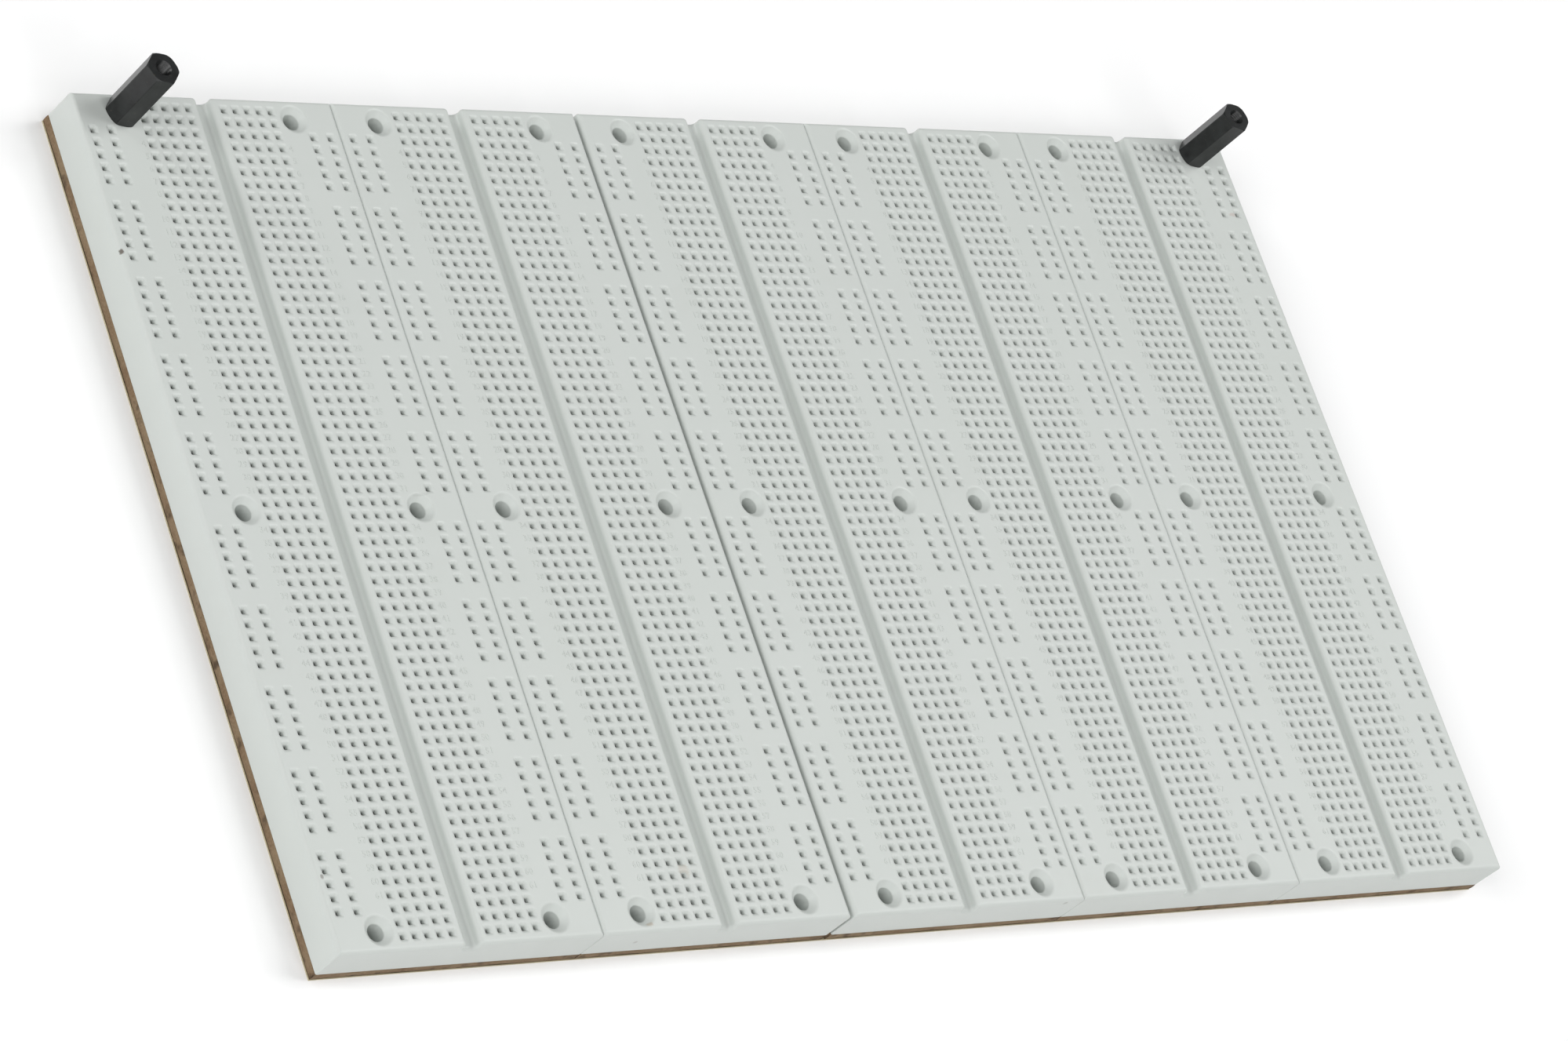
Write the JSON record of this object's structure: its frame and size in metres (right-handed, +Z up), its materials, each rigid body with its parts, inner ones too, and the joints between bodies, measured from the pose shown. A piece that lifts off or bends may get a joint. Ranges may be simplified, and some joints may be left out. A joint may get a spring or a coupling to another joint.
{
  "type": "solderless breadboard",
  "caption": "Solderless breadboard panel of white modules side by side, with tie-point lattices, bus columns, centre grooves, foam backing and black hex standoffs.",
  "frame": {"origin": "middle of the underside of the release sheet, at the centre of the panel", "axes": "+X across the modules to the right, +Y along the modules to the back edge with the standoffs, +Z up"},
  "size_m": [0.28, 0.165, 0.0251],
  "materials": {
    "body_plastic": "satin moulded",
    "foam": "matte cut foam",
    "release_paper": "waxed paper",
    "contact_metal": "nickel-plated spring bronze",
    "black_nylon": "satin nylon"
  },
  "bodies": {
    "panel": {"module_body_1": "body_plastic", "module_body_2": "body_plastic", "module_body_3": "body_plastic", "module_body_4": "body_plastic", "module_body_5": "body_plastic", "foam_pad_1": "foam", "foam_pad_2": "foam", "foam_pad_3": "foam", "foam_pad_4": "foam", "foam_pad_5": "foam", "release_sheet": "release_paper", "terminal_clips_left_1": "contact_metal", "terminal_clips_right_1": "contact_metal", "terminal_clips_left_2": "contact_metal", "terminal_clips_right_2": "contact_metal", "terminal_clips_left_3": "contact_metal", "terminal_clips_right_3": "contact_metal", "terminal_clips_left_4": "contact_metal", "terminal_clips_right_4": "contact_metal", "terminal_clips_left_5": "contact_metal", "terminal_clips_right_5": "contact_metal", "bus_strips_left_1": "contact_metal", "bus_strips_right_1": "contact_metal", "bus_strips_left_2": "contact_metal", "bus_strips_right_2": "contact_metal", "bus_strips_left_3": "contact_metal", "bus_strips_right_3": "contact_metal", "bus_strips_left_4": "contact_metal", "bus_strips_right_4": "contact_metal", "bus_strips_left_5": "contact_metal", "bus_strips_right_5": "contact_metal"},
    "screw_left": {"screw_left": "black_nylon"},
    "standoff_left": {"standoff_left": "black_nylon"},
    "screw_right": {"screw_right": "black_nylon"},
    "standoff_right": {"standoff_right": "black_nylon"}
  },
  "joints": [
    {"name": "screw_turn_left", "type": "hinge", "parent": "panel", "child": "screw_left", "pos_m": [-0.13055, 0.0786, 0.0015], "axis": [0, 0, -1], "range_deg": [0, 3600]},
    {"name": "standoff_lift_left", "type": "slide", "parent": "panel", "child": "standoff_left", "axis": [0, 0, 1], "range_m": [0, 0.005]},
    {"name": "screw_turn_right", "type": "hinge", "parent": "panel", "child": "screw_right", "pos_m": [0.13055, 0.0786, 0.0015], "axis": [0, 0, -1], "range_deg": [0, 3600]},
    {"name": "standoff_lift_right", "type": "slide", "parent": "panel", "child": "standoff_right", "axis": [0, 0, 1], "range_m": [0, 0.005]}
  ],
  "couplings": [
    {"joint": "screw_turn_left", "follows": "standoff_lift_left", "rad_per_m": 12566},
    {"joint": "screw_turn_right", "follows": "standoff_lift_right", "rad_per_m": 12566}
  ]
}
